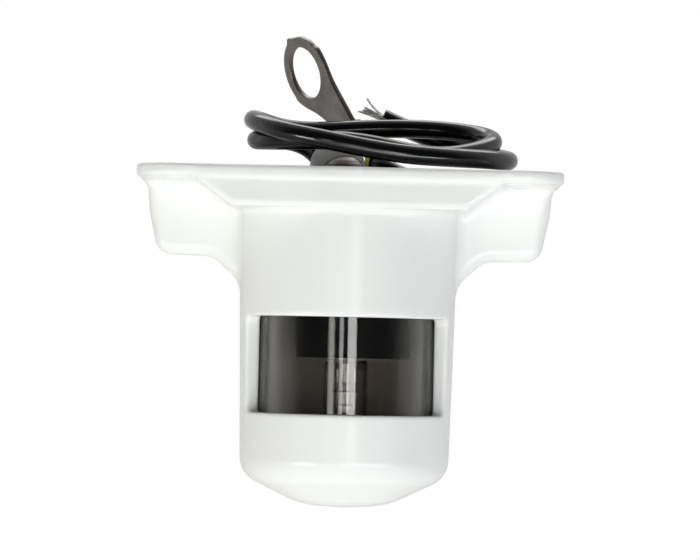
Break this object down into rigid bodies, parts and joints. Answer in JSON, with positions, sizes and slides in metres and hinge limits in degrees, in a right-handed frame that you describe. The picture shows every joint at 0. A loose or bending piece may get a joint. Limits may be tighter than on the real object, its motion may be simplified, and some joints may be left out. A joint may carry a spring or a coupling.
{
  "type": "navigation light",
  "caption": "Small surface-mounted navigation light with a hooded barrel, a side window, a smoked lens, a wedge lamp in a push-in socket and two wires.",
  "frame": {"origin": "centre of the seating rim on the back of the mounting flange, at the plane that meets the boat", "axes": "+Z out of the mounting face, on the wire side; the barrel points down -Z; the window faces -Y; +X to the right with the window in view"},
  "size_m": [0.0636, 0.0414, 0.0734],
  "materials": {
    "housing_white": "glossy moulded ABS, fine mould texture",
    "lens_smoke": "smoked transparent acrylic",
    "seal_rubber": "soft black EPDM",
    "ring_white": "matt white nylon",
    "socket_black": "satin black phenolic",
    "boot_grey": "light grey moulded rubber",
    "cap_grey": "zinc-plated pressed steel",
    "contact_brass": "drawn brass, lightly tarnished",
    "tinned": "tinned copper, dull bright",
    "bulb_glass": "clear soda glass",
    "filament": "drawn tungsten, dark",
    "wire_black": "glossy PVC insulation",
    "sleeve_yellow": "yellow PVC sleeve",
    "terminal_tin": "dark tinned copper, stamped"
  },
  "bodies": {
    "housing": {"housing": "housing_white", "lens": "lens_smoke", "lens_seal": "seal_rubber", "lens_retaining_ring": "ring_white"},
    "socket": {"socket_body": "socket_black", "socket_o_ring": "seal_rubber", "socket_boot": "boot_grey", "contact_cap": "cap_grey", "contact_hot": "contact_brass", "contact_ground": "contact_brass", "ground_pin": "contact_brass", "hot_crimp": "tinned", "hot_wire": "wire_black", "hot_wire_strands": "tinned", "ground_wire": "wire_black", "ground_wire_strands": "tinned", "polarity_sleeve": "sleeve_yellow", "ring_terminal": "terminal_tin"},
    "bulb": {"bulb_envelope": "bulb_glass", "bulb_base": "bulb_glass", "bulb_lead_hot": "tinned", "bulb_lead_ground": "tinned", "bulb_bead": "bulb_glass", "bulb_filament": "filament"}
  },
  "joints": [
    {"name": "socket_pull", "type": "slide", "parent": "housing", "child": "socket", "axis": [0, 0, 1], "range_m": [0, 0.046]},
    {"name": "bulb_pull", "type": "slide", "parent": "socket", "child": "bulb", "axis": [0, 0, -1], "range_m": [0, 0.006]}
  ]
}
